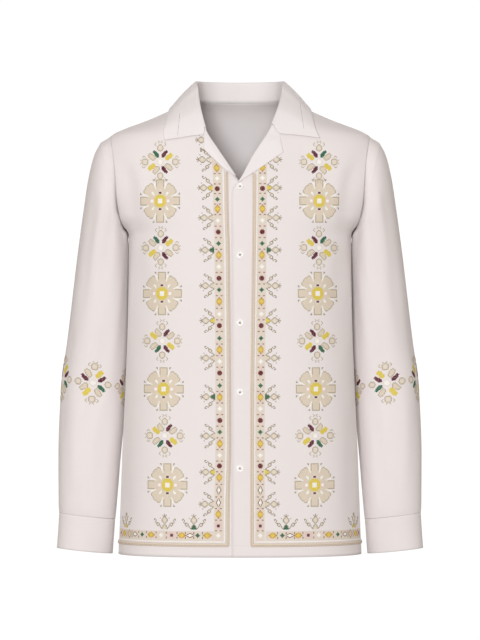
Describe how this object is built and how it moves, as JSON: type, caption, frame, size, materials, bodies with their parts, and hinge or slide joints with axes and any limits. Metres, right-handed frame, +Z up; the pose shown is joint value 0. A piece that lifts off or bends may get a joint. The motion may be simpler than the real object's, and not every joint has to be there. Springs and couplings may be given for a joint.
{
  "type": "embroidered shirt",
  "caption": "Long-sleeved shirt with an open camp collar, filled out as when worn, with counted-thread folk embroidery in bands, medallions and flowers.",
  "frame": {"origin": "base of the neck, on the centre plane, level with the back neck seam, where the wearer's neck and shoulders carry the shirt", "axes": "+Z up, the front faces -Y, the wearer's left at +X"},
  "size_m": [0.5874, 0.2647, 0.7578],
  "materials": {
    "shirt_cloth": "smooth plain-weave cotton, off-white with a faint pink",
    "collar_cloth": "smooth plain-weave cotton, doubled and pressed",
    "embroidery_thread": "soft matt twisted cotton thread",
    "button_pearl": "glossy, faintly pearly"
  },
  "bodies": {
    "root": {"front_left": "shirt_cloth", "front_right": "shirt_cloth", "back_left": "shirt_cloth", "back_right": "shirt_cloth", "sleeve_left_cap": "shirt_cloth", "sleeve_left_top": "shirt_cloth", "sleeve_left_front": "shirt_cloth", "sleeve_left_back": "shirt_cloth", "sleeve_right_cap": "shirt_cloth", "sleeve_right_top": "shirt_cloth", "sleeve_right_front": "shirt_cloth", "sleeve_right_back": "shirt_cloth", "cuff_left": "shirt_cloth", "cuff_right": "shirt_cloth", "collar": "collar_cloth", "lapel_left": "collar_cloth", "lapel_right": "collar_cloth", "braid_left": "embroidery_thread", "braid_right": "embroidery_thread", "button_1": "button_pearl", "button_2": "button_pearl", "button_3": "button_pearl", "button_4": "button_pearl", "button_5": "button_pearl"}
  },
  "joints": []
}
